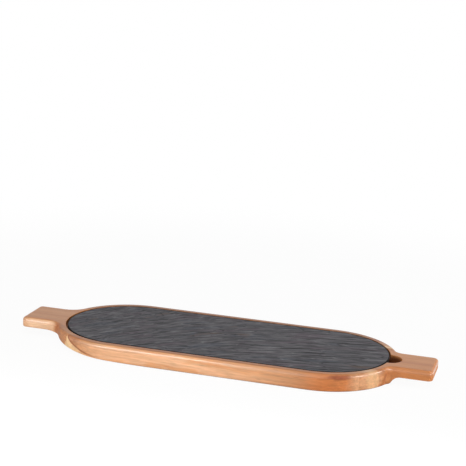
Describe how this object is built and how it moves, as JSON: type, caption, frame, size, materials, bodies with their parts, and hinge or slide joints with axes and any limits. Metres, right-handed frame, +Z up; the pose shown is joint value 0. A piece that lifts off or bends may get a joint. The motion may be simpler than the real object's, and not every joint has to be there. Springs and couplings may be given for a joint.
{
  "type": "slate serving board",
  "caption": "Low wooden serving tray with round ends, a paddle handle at each end and a loose riven slate plate let into its top, with a finger notch in the rim to lift the slate out.",
  "frame": {"origin": "on the table, under the middle of the tray's length and width", "axes": "+X along the tray, from the plain handle to the handle beside the finger notch, +Y across it, away from the viewer of the picture, +Z up"},
  "size_m": [0.5, 0.175, 0.02],
  "materials": {
    "oiled_wood": "oiled hardwood with lengthwise grain, satin",
    "riven_slate": "split slate, matt, with fine ridges"
  },
  "bodies": {
    "tray": {"stave_centre": "oiled_wood", "stave_inner_near": "oiled_wood", "stave_inner_far": "oiled_wood", "stave_outer_near": "oiled_wood", "stave_outer_far": "oiled_wood"},
    "slate": {"slate_plate": "riven_slate"}
  },
  "joints": [
    {"name": "slate_lift", "type": "slide", "parent": "tray", "child": "slate", "axis": [0, 0, 1], "range_m": [0, 0.05]}
  ]
}
